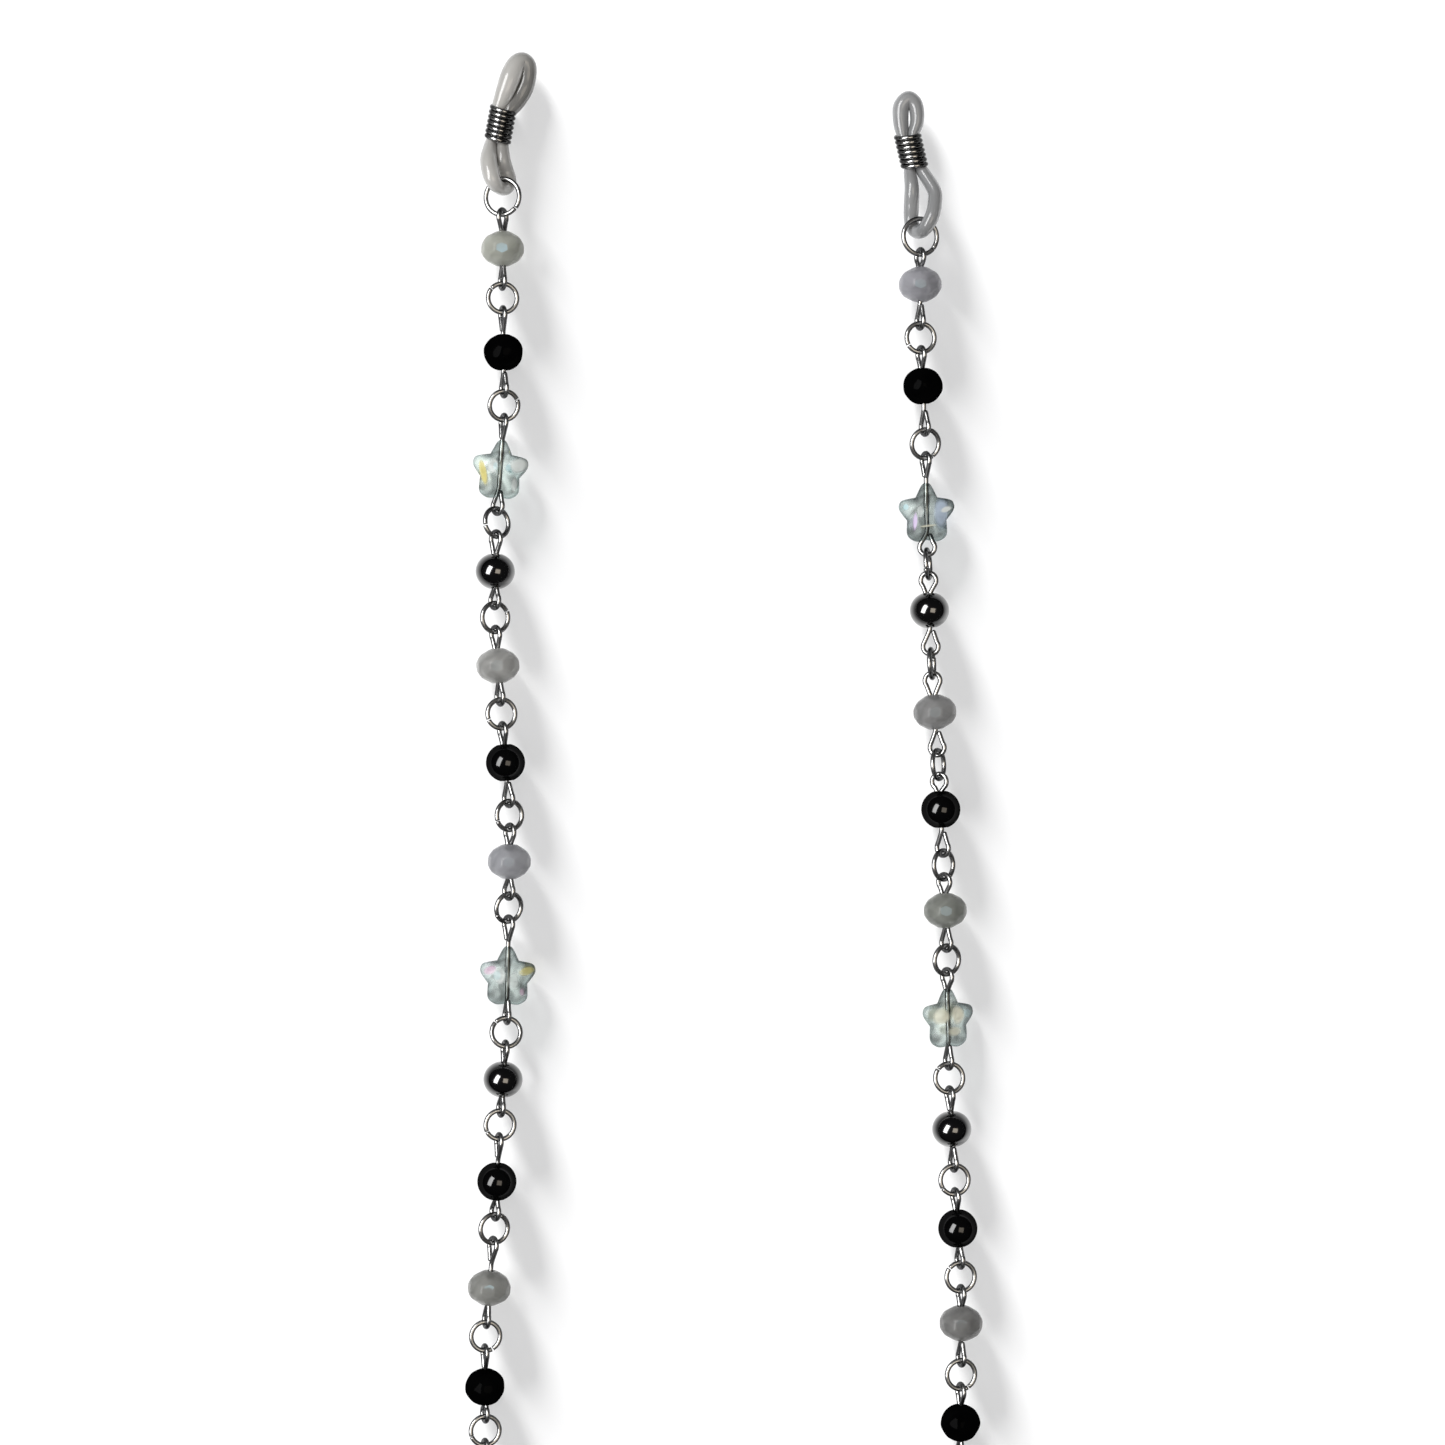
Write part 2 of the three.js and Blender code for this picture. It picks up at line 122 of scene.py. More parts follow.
# The iridescent coat of each star, as patches of painted reflection, the white ones painted
# highlights, in millimetres across its face and degrees:
# x, y, half width, half height, turn, colour, strength.
STAR_COAT_PAINTED_LIGHT = {
    "left_bead_03_star": [
        (-2.4, -0.5, 0.5, 2.0, 16, GOLD, 0.85), (-0.95, 0.5, 0.8, 1.1, 0, WHITE, 0.7),
        (-0.6, 0.5, 0.35, 0.6, 0, CYAN, 0.5), (2.8, 0.8, 1.3, 1.1, 15, WHITE, 0.85),
        (1.3, 0.3, 0.45, 0.6, 0, CYAN, 0.8), (2.3, -2.1, 0.5, 1.3, 0, WHITE, 0.6),
    ],
    "left_bead_08_star": [
        (-2.6, 1.0, 1.0, 0.6, 20, PINK, 0.55), (-1.0, 0.2, 0.9, 1.2, 0, WHITE, 0.55),
        (-1.4, 0.2, 0.6, 0.7, 0, CYAN, 0.4), (2.9, 0.9, 1.1, 0.6, 15, GOLD, 0.5),
        (2.2, -2.2, 0.4, 0.7, 0, PINK, 0.4), (1.0, -0.6, 0.8, 1.6, 0, WHITE, 0.35),
    ],
    "right_bead_03_star": [
        (-3.1, 1.0, 0.45, 0.5, 0, CYAN, 0.9), (-1.75, -1.3, 0.32, 1.3, -4, LILAC, 0.9),
        (2.1, -0.2, 1.1, 2.3, 0, BLUE, 0.75), (2.9, 0.5, 0.85, 0.4, 20, WHITE, 1.0),
        (0.2, -1.9, 1.4, 0.18, 6, CREAM, 0.6), (-1.0, 0.2, 0.45, 0.9, 0, WHITE, 0.4),
    ],
    "right_bead_08_star": [
        (-1.8, 0.6, 1.2, 1.2, 0, CREAM, 0.75), (0.8, 0.7, 1.1, 1.5, 0, CREAM, 0.9),
        (0.4, -1.8, 1.2, 0.8, 0, CREAM, 0.6), (2.6, 0.8, 0.7, 0.6, 0, CYAN, 0.4),
    ],
    "neck_star": [
        (-1.6, 0.4, 1.1, 1.2, 0, CYAN, 0.4), (2.2, 0.6, 1.2, 1.0, 0, CREAM, 0.5),
        (-2.2, -1.6, 0.5, 1.2, 15, LILAC, 0.5),
    ],
}
# How clear the glass of each star is.
STAR_CLARITY = {
    "left_bead_03_star": 1.12, "left_bead_08_star": 1.0,
    "right_bead_03_star": 0.9, "right_bead_08_star": 1.0, "neck_star": 1.0,
}
# Each opal bead's tint, and how strong the painted highlight is on the facet facing the viewer.
OPAL_TINTS = {
    "left_bead_01_opal": (0.418, 0.429, 0.383, 1.0),
    "left_bead_05_opal": (0.441, 0.441, 0.429, 0.1),
    "left_bead_07_opal": (0.36, 0.365, 0.389, 0.1),
    "left_bead_11_opal": (0.29, 0.293, 0.278, 0.7),
    "right_bead_01_opal": (0.36, 0.36, 0.389, 0.35),
    "right_bead_05_opal": (0.273, 0.273, 0.273, 0.1),
    "right_bead_07_opal": (0.29, 0.302, 0.278, 0.35),
    "right_bead_11_opal": (0.249, 0.249, 0.244, 0.1),
}
NECK_OPAL_TINT = (0.35, 0.35, 0.36, 0.2)

CORD_SIDES = 24  # sides of the silicone cord's section
CORD_SHADE_TURN = (0.38, 0.62)  # shares of a cord's length between which its shade changes
# The cord's right leg from inside the coil down, in the slider's frame: x, y, z, half width,
# half height. The left leg is its mirror image.
CORD_AT_COIL = (
    (0.70, 0.2, 0, 0.66, 1.10), (0.70, -1.4, 0, 0.66, 1.10), (0.90, -3.0, 0, 0.92, 1.12),
)

# The silicone cord's tint, the painted shade of each of its legs, and its routes: x, y, z, then
# its half width and half height. The upper route is in the slider's frame, from the left leg over
# the lobe to the right leg. The lower route is from the end ring's centre, from the right leg
# through the ring to the left leg.
LOOPS = {
    "left": {
        "tint": (1.0, 1.0, 1.0),
        "upper_shades": (1.0, 0.38),
        "lower_shades": (0.68, 1.0),
        "upper": [
            (-0.66, -0.2, 0, 0.70, 1.10), (-0.66, 1.2, 0, 0.70, 1.10),
            (-0.66, 2.4, 0.10, 1.08, 1.12), (-0.40, 3.8, 0.50, 1.26, 1.12),
            (-0.08, 5.4, 0.85, 1.42, 1.15), (0.24, 7.4, 0.75, 1.52, 1.20),
            (0.66, 9.2, 0.35, 1.40, 1.20), (1.45, 9.98, 0.0, 1.32, 1.20),
            (2.24, 9.4, -0.30, 1.42, 1.20), (2.46, 7.9, -0.65, 1.46, 1.20),
            (2.30, 6.2, -0.60, 1.50, 1.20), (1.80, 4.5, -0.45, 1.42, 1.15),
            (1.10, 2.9, -0.15, 1.28, 1.12), (0.68, 1.2, 0, 0.68, 1.10),
            (0.70, -0.2, 0, 0.66, 1.10),
        ],
        "lower": [
            (0.05, 5.5, -0.4, 1.15, 1.10), (0.42, 3.9, -1.05, 1.22, 1.08),
            (0.85, 2.5, -1.10, 1.15, 1.02), (0.45, 1.5, -0.95, 1.08, 1.02),
            (-0.35, 1.3, 0.25, 1.02, 1.05), (-1.15, 1.9, 1.35, 1.10, 1.05),
            (-1.68, 3.3, 1.45, 1.24, 1.12), (-2.02, 5.5, 0.7, 1.24, 1.15),
        ],
    },
    "right": {
        "tint": (0.97, 1.0, 1.06),
        "upper_shades": (0.66, 0.60),
        "lower_shades": (0.58, 0.64),
        "upper": [
            (-0.66, -0.2, 0, 0.70, 1.10), (-0.66, 1.2, 0, 0.70, 1.10),
            (-0.74, 2.4, 0, 0.82, 1.12), (-0.62, 3.8, 0, 1.08, 1.18),
            (-0.38, 5.4, 0, 1.20, 1.22), (0.10, 6.9, 0, 1.24, 1.22),
            (1.28, 7.75, 0, 1.20, 1.20), (2.10, 6.9, 0, 1.14, 1.20),
            (2.12, 5.4, 0, 1.10, 1.18), (1.70, 3.9, 0, 1.02, 1.15),
            (0.86, 2.5, 0, 0.84, 1.12), (0.70, 1.2, 0, 0.66, 1.10),
            (0.70, -0.2, 0, 0.66, 1.10),
        ],
        "lower": [
            (2.0, 6.9, 0.2, 1.05, 1.15), (2.12, 5.0, 0.8, 1.08, 1.12),
            (1.75, 3.1, 1.45, 1.08, 1.05), (1.0, 1.55, 1.35, 1.08, 1.02),
            (0.1, 0.75, 0.1, 1.05, 1.05), (-0.8, 1.15, -1.05, 1.05, 1.02),
            (-1.25, 2.6, -1.25, 1.10, 1.05), (-1.28, 4.8, -0.7, 1.14, 1.12),
            (-1.25, 7.2, -0.1, 1.08, 1.15),
        ],
    },
}

# Suns light only the table; softboxes light only the chain.
# Suns: name, direction, strength, angle in degrees (None: the real sun's), casts shadows.
SUNS = (
    ("window", (-0.40, 0.915, 0.235), 7.0, 17, True),
    ("bounce", (0, 0, 1), 1.75, None, False),
)
# Softboxes: name, direction, size in metres, radiance in W/m2/sr, colour, roll in degrees.
SOFTBOXES = (
    ("softbox", (-0.57, 0.12, 0.81), (2.0, 0.85), 6.0, (1, 1, 1), -12),
    ("warm_lamp", (0.30, -0.05, 0.95), (1.0, 1.0), 1.25, (1.0, 0.89, 0.74), 0),
)
SOFTBOX_DISTANCE = 2.0  # metres
# The world's colour to the camera, to matt surfaces and to every other ray.
WORLD = {
    "camera": (0.93, 0.93, 0.93), "matt": (0.18, 0.18, 0.183), "other": (0.02, 0.02, 0.021),
}

TABLE_REACH = 2500
VIEW_WIDTH = 214.07  # how much of the table the camera sees across
VIEW_FROM_END_RING = (32.6, -77.9)  # the middle of the view, from the left end ring's centre
VIEW_HEIGHT = 3.0  # the level at which the view is that wide
LENS = 85
SENSOR = 36

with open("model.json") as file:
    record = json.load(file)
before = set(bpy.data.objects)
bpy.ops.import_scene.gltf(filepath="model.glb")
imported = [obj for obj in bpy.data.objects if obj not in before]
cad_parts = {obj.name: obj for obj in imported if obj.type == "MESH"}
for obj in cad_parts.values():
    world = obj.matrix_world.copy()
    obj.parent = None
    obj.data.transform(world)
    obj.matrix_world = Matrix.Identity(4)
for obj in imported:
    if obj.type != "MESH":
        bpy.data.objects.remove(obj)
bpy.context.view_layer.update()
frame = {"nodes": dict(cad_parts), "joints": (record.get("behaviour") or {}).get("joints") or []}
NODES = frame["nodes"]
JOINTS = {joint["name"]: joint for joint in frame["joints"]}


# ---- reading the frame ----
def joint_point(name):
    return Vector(JOINTS[name]["pos_m"]) / MM


def joint_axis(name):
    return Vector(JOINTS[name]["axis"]).normalized()


def node_points(node):
    return [vertex.co / MM for vertex in NODES[node].data.vertices]


def basis(x, y, z, origin):
    """A frame from its three axes and its origin."""
    turned = Matrix((x, y, z)).transposed().to_4x4()
    turned.translation = origin
    return turned


def ring_from_joints(ring, centre_joint):
    """A ring's frame and contacts, from the hinges at its lower contact and at its centre."""
    lower = joint_point(f"{ring}_tilt")
    centre = joint_point(centre_joint)
    z = joint_axis(centre_joint)
    if z.z < 0:
        z = -z
    y = (centre - lower).normalized()
    return {
        "matrix": basis(y.cross(z), y, z, centre),
        "upper": 2 * centre - lower,
        "lower": lower,
        "body": ring,
        "node": ring,
    }


def ring_from_contacts(upper, lower, roll, body):
    """A ring between two pins, leaning by roll degrees about the line through them."""
    y = (upper - lower).normalized()
    x = Vector((y.y, -y.x, 0)).normalized()
    matrix = basis(x, y, x.cross(y), (upper + lower) / 2)
    matrix = matrix @ Matrix.Rotation(math.radians(roll), 4, "Y")
    return {
        "matrix": matrix, "upper": upper, "lower": lower, "body": body, "node": body,
    }


def bead_centre_and_turn(node, kind, top, bottom):
    """Where the bead sits on its pin, and how far it is turned about the pin."""
    along = (top - bottom).normalized()
    side = along.cross(Vector((0, 0, 1))).normalized()
    up = side.cross(along)
    far = []
    for point in node_points(node):
        arm = point - bottom
        height = arm.dot(along)
        lateral = (arm.dot(side), arm.dot(up))
        if math.hypot(*lateral) > OUTSIDE_PIN:
            far.append((height, *lateral))
    middle = (max(f[0] for f in far) + min(f[0] for f in far)) / 2
    if kind != "star":
        return bottom + along * middle, 0.0
    # Only the star's side and lower points lie that far out, so its centre is higher up.
    middle += STAR["tip"] * (math.cos(math.pi / 5) - math.sin(math.pi / 10)) / 2
    spread = math.atan2(
        2 * sum(f[1] * f[2] for f in far), sum(f[1] ** 2 - f[2] ** 2 for f in far)
    )
    return bottom + along * middle, -spread / 2


def strand_links(side):
    """The rings and links of one strand, from the temple loop to the neck."""
    beads = sorted(name for name in NODES if name.startswith(f"{side}_bead_"))
    rings = [ring_from_joints(f"{side}_end_ring", f"{side}_temple_loop_swing")]
    links = []
    for number, bead in enumerate(beads, 1):
        ring = ring_from_joints(f"{side}_jump_ring_{number:02d}", f"{bead}_swing")
        top, bottom = rings[-1]["lower"], ring["upper"]
        kind = bead.rsplit("_", 1)[1]
        centre, turn = bead_centre_and_turn(bead, kind, top, bottom)
        links.append({
            "name": bead, "kind": kind, "top": top, "bottom": bottom, "centre": centre,
            "turn": turn, "above": rings[-1], "below": ring, "body": bead, "node": bead,
        })
        rings.append(ring)
    return rings, links


# ---- the neck, which the CAD frame holds as five plain sections ----
def bezier(points, t):
    """A point on a cubic curve."""
    a, b, c, d = points
    s = 1 - t
    return a * s**3 + b * 3 * s * s * t + c * 3 * s * t * t + d * t**3


def neck_stations(left, right):
    """Where the rings of the neck lie, spaced along a smooth bend."""
    depth = Vector((0, -NECK_DEPTH, 0))
    control = (left, left + depth, right + depth, right)
    steps = 800
    line = [bezier(control, i / steps) for i in range(steps + 1)]
    lengths = [0.0]
    for a, b in zip(line, line[1:]):
        lengths.append(lengths[-1] + (b - a).length)
    reaches = [NECK_STAR_PITCH if kind == "star" else NECK_PITCH for kind in NECK_BEADS]
    stations = [left.copy()]
    along = 0.0
    for reach in reaches:
        along += reach
        target = min(along / sum(reaches), 1.0) * lengths[-1]
        i = next((k for k in range(steps) if lengths[k + 1] >= target - 1e-9), steps - 1)
        share = (target - lengths[i]) / (lengths[i + 1] - lengths[i])
        stations.append(bezier(control, (i + share) / steps))
    return stations


def neck_links(left_ring, left_link, right_ring, right_link):
    """The rings and links of the neck, between the last ring of each strand."""
    def station(link, ring):
        along = (link["bottom"] - link["top"]).normalized()
        place = ring["upper"] + along * RING
        return Vector((place.x, place.y, 0))

    stations = neck_stations(station(left_link, left_ring), station(right_link, right_ring))
    links = []
    for i, kind in enumerate(NECK_BEADS):
        along = (stations[i + 1] - stations[i]).normalized()
        lift = Vector((0, 0, RESTING_HEIGHT[kind]))
        section = f"neck_section_{i // BEADS_PER_SECTION + 1}"
        top = stations[i] + along * RING + lift
        bottom = stations[i + 1] - along * RING + lift
        links.append({
            "name": f"neck_bead_{i + 1:02d}_{kind}", "kind": kind, "top": top,
            "bottom": bottom, "centre": (top + bottom) / 2, "turn": 0.0,
            "body": section, "node": section,
        })
    rings = []
    middle = NECK_SECTIONS // 2
    for i in range(1, len(links)):
        before, after = (i - 1) // BEADS_PER_SECTION, i // BEADS_PER_SECTION
        owner = before if before < middle else after
        roll = NECK_ROLL if i % BEADS_PER_SECTION == 0 else NECK_ROLL * (-1) ** i
        rings.append(ring_from_contacts(
            links[i - 1]["bottom"], links[i]["top"], roll, f"neck_section_{owner + 1}"))
    for i, link in enumerate(links):
        link["above"] = rings[i - 1] if i else left_ring
        link["below"] = rings[i] if i < len(rings) else right_ring
    return rings, links


# ---- mesh building ----
def make_mesh(name, vertices, faces):
    """A smooth-shaded mesh from vertices in millimetres."""
    mesh = bpy.data.meshes.new(name)
    mesh.from_pydata([Vector(v) * MM for v in vertices], [], faces)
    mesh.update()
    for polygon in mesh.polygons:
        polygon.use_smooth = True
    return mesh


def place(name, mesh, material, matrix, body, node, slot):
    """Shows a mesh, which may be shared, as a piece on a CAD body in place of a CAD node."""
    piece = bpy.data.objects.new(name, mesh)
    if not mesh.materials:
        mesh.materials.append(material)
    bpy.context.scene.collection.objects.link(piece)
    placed = matrix.copy()
    placed.translation = matrix.translation * MM
    piece.matrix_world = placed
    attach(piece, body)
    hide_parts(node)
    return piece


def smooth_route(points, per_span):
    """Catmull-Rom through tuples of any length."""
    def at(i):
        return points[max(0, min(len(points) - 1, i))]

    route = []
    for i in range(len(points) - 1):
        p0, p1, p2, p3 = at(i - 1), at(i), at(i + 1), at(i + 2)
        for step in range(per_span):
            t = step / per_span
            route.append(tuple(
                0.5 * (2 * b + (c - a) * t + (2 * a - 5 * b + 4 * c - d) * t * t
                       + (3 * b - a - 3 * c + d) * t**3)
                for a, b, c, d in zip(p0, p1, p2, p3)))
    route.append(tuple(points[-1]))
    return route


def cap_rings(end, way):
    """The shrinking sections that round off a tube's end, from its last section outwards."""
    centre, tangent, side, rise, width, height = end
    rings = []
    for k in (1, 2, 3):
        share, reach = math.cos(k * math.pi / 8), math.sin(k * math.pi / 8)
        rings.append((centre + tangent * (way * height * reach), tangent, side, rise,
                      width * share, height * share))
    return rings


def tube(centres, sizes, sides, up=None, round_ends=True):
    """Vertices and faces of a closed tube along centres. sizes are (half width, half height).
    With up, the section stays level with it; without, it turns as little as it can."""
    tangents = []
    for i in range(len(centres)):
        ahead = centres[min(i + 1, len(centres) - 1)] - centres[max(i - 1, 0)]
        tangents.append(ahead.normalized())
    vertices, faces = [], []
    side = None
    loops = []
    for centre, tangent, (width, height) in zip(centres, tangents, sizes):
        if up is not None:
            side = tangent.cross(up).normalized()
        elif side is None:
            side = tangent.orthogonal().normalized()
        else:
            side = (side - tangent * side.dot(tangent)).normalized()
        rise = side.cross(tangent)
        loops.append((centre, tangent, side, rise, width, height))
    if round_ends:
        loops = cap_rings(loops[0], -1)[::-1] + loops + cap_rings(loops[-1], 1)
    for centre, _, side, rise, width, height in loops:
        for k in range(sides):
            angle = 2 * math.pi * k / sides
            vertices.append(centre + side * width * math.cos(angle)
                            + rise * height * math.sin(angle))
    for i in range(len(loops) - 1):
        for k in range(sides):
            a, b = i * sides + k, i * sides + (k + 1) % sides
            faces.append((a, a + sides, b + sides, b))
    faces.append(tuple(range(sides)))
    faces.append(tuple(reversed(range(len(vertices) - sides, len(vertices)))))
    return vertices, faces


def wire_mesh(name, centres, radius=WIRE, sides=14, round_ends=True):
    """Round wire along centres."""
    return make_mesh(name, *tube(centres, [(radius, radius)] * len(centres), sides,
                                 round_ends=round_ends))


def ring_mesh(radius):
    """A ring of wire whose two ends nearly meet, one a little above the other."""
    gap = SEAM / radius
    steps = 72
    centres = []
    for i in range(steps + 1):
        share = i / steps
        angle = gap + share * (2 * math.pi - 2 * gap)
        lift = SEAM_STEP * (2 * share - 1) ** 3
        centres.append(Vector((radius * math.cos(angle), radius * math.sin(angle), lift)))
    return wire_mesh(f"ring_{radius:g}", centres, sides=18, round_ends=False)


def eye_points(centre, bead_end):
    """One eye of a pin in its own plane: the stem comes up +Y and opens into a teardrop, whose
    end comes back beside the stem at the neck."""
    drop = min(max(centre - bead_end + EYE_INSET, EYE + WIRE), LONGEST_EYE)
    neck = centre - drop
    open_by = math.degrees(math.acos(EYE / drop)) * EYE_WRAP
    points = [(0.0, neck - 0.75), (-STEM_SIDE, neck)]
    steps = 15
    for i in range(steps + 1):
        degrees = -90 - open_by - (360 - 2 * open_by) * i / steps
        angle = math.radians(degrees)
        points.append((EYE * math.cos(angle), centre + EYE * math.sin(angle)))
    points.append((TAIL_SIDE, neck + 0.10))
    return points


def eye_direction(matrix, ring):
    """How far an eye turns about its pin to stand across the ring's wire, a little askew."""
    across = matrix.to_3x3().inverted() @ ring["matrix"].to_3x3().col[0]
    square = math.atan2(across.x, across.z)
    lean = square - math.pi / 2
    return square + math.copysign(EYE_TWIST * max(0.0, math.cos(2 * lean)), lean)


def pin_mesh(link, matrix):
    """The double-eyed pin: an eye, the wire through the bead, and the other eye."""
    up_reach = (link["top"] - link["centre"]).length - EYE_SLACK
    down_reach = (link["bottom"] - link["centre"]).length - EYE_SLACK
    bead_end = HALF_LENGTH[link["kind"]]
    tip_end = STAR["tip"] if link["kind"] == "star" else bead_end
    upper = [Vector((x, y, 0)) for x, y in eye_points(up_reach, tip_end)]
    lower = [Vector((-x, -y, 0)) for x, y in eye_points(down_reach, bead_end)]
    turn_up = Matrix.Rotation(eye_direction(matrix, link["above"]), 3, "Y")
    turn_down = Matrix.Rotation(eye_direction(matrix, link["below"]), 3, "Y")
    upper = [turn_up @ point for point in upper]
    lower = [turn_down @ point for point in lower]
    stem = [Vector((0, y, 0)) for y in (STEM, 0.0, -STEM)]
    route = [*reversed(upper), *stem, *lower]
    centres = [Vector(p) for p in smooth_route([tuple(p) for p in route], 4)]
    return wire_mesh(f"pin_{link['name']}", centres)


def bead_mesh(name, surface, hole):
    """A bead. surface gives its outer point in a direction; each end is dented by the hole."""
    bm = bmesh.new()
    bmesh.ops.create_icosphere(bm, subdivisions=5, radius=1.0)
    vertices = []
    for vertex in bm.verts:
        point = surface(vertex.co)
        from_axis = math.hypot(point.x, point.z)
        sink = hole["depth"] * math.exp(-((from_axis / hole["radius"]) ** 4))
        point.y -= math.copysign(sink, point.y)
        vertices.append(point)
    faces = [tuple(v.index for v in face.verts) for face in bm.faces]
    bm.free()
    return make_mesh(name, vertices, faces)


def cut_mesh(name, planes, sharpness):
    """A ground bead: planes are (normal, distance), met by rounded edges."""
    def surface(way):
        way = way.normalized()
        total = 0.0
        for normal, distance in planes:
            lean = way.dot(normal)
            if lean > 0:
                total += (lean / distance) ** sharpness
        return way * total ** (-1 / sharpness)

    return bead_mesh(name, surface, CUT_HOLE)


def facet_planes(rows, count, end, jitter, seed):
    """Rows of facets round the Y axis: (tilt towards the ends, distance, turn in half facets)."""
    rng = random.Random(seed)
    planes = [(Vector((0, 1, 0)), end), (Vector((0, -1, 0)), end)]
    for tilt, distance, stagger in rows:
        for way in ((1, -1) if tilt else (1,)):
            for k in range(count):
                angle = 2 * math.pi * (k + stagger / 2) / count + rng.uniform(-jitter, jitter)
                lean = math.radians(tilt) + rng.uniform(-jitter, jitter)
                normal = Vector((
                    math.sin(angle) * math.cos(lean), way * math.sin(lean),
                    -math.cos(angle) * math.cos(lean)))
                planes.append((normal, distance * (1 + rng.uniform(-jitter, jitter) / 4)))
    return planes


def ball_mesh(name, half_length):
    """A round bead, flattened towards its hole."""
    def surface(way):
        return Vector((way.x * BALL_RADIUS, way.y * half_length, way.z * BALL_RADIUS))

    return bead_mesh(name, surface, ROUND_HOLE)


def star_outline(angle):
    """Radius of the star's outline at an angle from its tip: straight sides, rounded tips."""
    slice_angle = math.pi / STAR["points"]
    off = abs((angle + slice_angle) % (2 * slice_angle) - slice_angle)
    from_top = abs((angle + math.pi) % (2 * math.pi) - math.pi)
    depth = STAR["notches"][min(int(from_top / (2 * slice_angle)), 2)]
    tip = Vector((STAR["tip"] + STAR["overrun"], 0))
    notch = Vector((math.cos(slice_angle), math.sin(slice_angle))) * depth
    edge = tip - notch
    normal = Vector((-edge.y, edge.x)).normalized()
    if normal.x < 0:
        normal = -normal
    straight = tip.dot(normal) / max(Vector((math.cos(off), math.sin(off))).dot(normal), 1e-6)
    tip_round = STAR["tip"] / max(math.cos(off), 1e-6)
    blend = STAR["blend"]
    return (straight**-blend + tip_round**-blend) ** (-1 / blend)


def star_mesh():
    """A puffed five-pointed star: ridges run to its tips, and its rim is rounded."""
    around, out = 160, 26
    vertices = [Vector((0, 0, STAR["crown"])), Vector((0, 0, -STAR["crown"]))]
    faces = []

    def point(step, k, way):
        share = math.sin(step / out * math.pi / 2)
        angle = 2 * math.pi * k / around
        radius = star_outline(angle) * share
        rise = STAR["rim"] + (STAR["crown"] - STAR["rim"]) * (1 - share ** STAR["puff"])
        height = rise * math.sqrt(max(0.0, 1 - share ** STAR["edge"]))
        return Vector((radius * math.sin(angle) * STAR["narrow"], radius * math.cos(angle),
                       way * height))

    index = {}
    for way in (1, -1):
        for step in range(1, out + 1):
            for k in range(around):
                if step == out and way == -1:
                    index[way, step, k] = index[1, step, k]
                    continue
                index[way, step, k] = len(vertices)
                vertices.append(point(step, k, way))
    for way in (1, -1):
        hub = 0 if way == 1 else 1
        for k in range(around):
            n = (k + 1) % around
            hub_face = (hub, index[way, 1, n], index[way, 1, k])
            faces.append(hub_face if way == 1 else hub_face[::-1])
            for step in range(1, out):
                quad = (index[way, step, k], index[way, step, n],
                        index[way, step + 1, n], index[way, step + 1, k])
                faces.append(quad if way == 1 else quad[::-1])
    return make_mesh("star", vertices, faces)


def coil_mesh():
    """The slider's spring in its own frame, with +Y along the loop."""
    steps = COIL["turns"] * 40
    centres = []
    for i in range(steps + 1):
        share = i / steps
        angle = 2 * math.pi * COIL["turns"] * share
        x, z = COIL["radius"] * math.cos(angle), COIL["radius"] * math.sin(angle)
        along = (share - 0.5) * (COIL["length"] - 2 * COIL["wire"]) + COIL["shift"]
        along -= COIL["lean_back"] * z + COIL["lean_side"] * x
        centres.append(Vector((x, along, z)))
    return wire_mesh("coil", centres, COIL["wire"], sides=14)


# ---- materials ----
class Nodes:
    """A short way to build a node tree."""

    def __init__(self, name):
        self.material = bpy.data.materials.new(name)
        self.material.use_nodes = True
        self.tree = self.material.node_tree
        self.tree.nodes.clear()
        self.output = self.add("ShaderNodeOutputMaterial")

    def add(self, kind, inputs=None, **settings):
        node = self.tree.nodes.new(kind)
        for key, value in settings.items():
            setattr(node, key, value)
        for key, value in (inputs or {}).items():
            if isinstance(value, bpy.types.NodeSocket):
                self.tree.links.new(value, node.inputs[key])
            else:
                node.inputs[key].default_value = value
        return node

    def coordinates(self):
        """Places on the piece itself, in metres."""
        return self.add("ShaderNodeTexCoord").outputs["Object"]

    def noise(self, scale, detail, distortion=0.0, at=None):
        return self.add("ShaderNodeTexNoise", {
            "Vector": at or self.coordinates(), "Scale": scale, "Detail": detail,
            "Roughness": 0.5, "Distortion": distortion}).outputs["Fac"]

    def ramp(self, factor, stops, smooth=False):
        """A colour for a factor: stops are (position, colour)."""
        node = self.add("ShaderNodeValToRGB", {"Fac": factor})
        elements = node.color_ramp.elements
        node.color_ramp.interpolation = "EASE" if smooth else "LINEAR"
        while len(elements) < len(stops):
            elements.new(0.5)
        for element, (position, color) in zip(elements, stops):
            element.position = position
            element.color = (*color, 1)
        return node.outputs["Color"]

    def facing(self):
        """0 where the surface faces the viewer, 1 at its edge."""
        return self.add("ShaderNodeLayerWeight", {"Blend": 0.5}).outputs["Facing"]

    def mix_color(self, factor, a, b, mode="MIX"):
        """Mixes two colours, each a socket or three numbers."""
        node = self.add("ShaderNodeMix", data_type="RGBA", blend_type=mode)
        for socket, value in zip((node.inputs[0], node.inputs[6], node.inputs[7]),
                                 (factor, a, b)):
            if isinstance(value, bpy.types.NodeSocket):
                self.tree.links.new(value, socket)
            else:
                socket.default_value = value if isinstance(value, float) else (*value, 1)
        return node.outputs[2]

    def finish(self, shader):
        self.tree.links.new(shader, self.output.inputs["Surface"])
        return self.material


def grey(value):
    return (value, value, value)


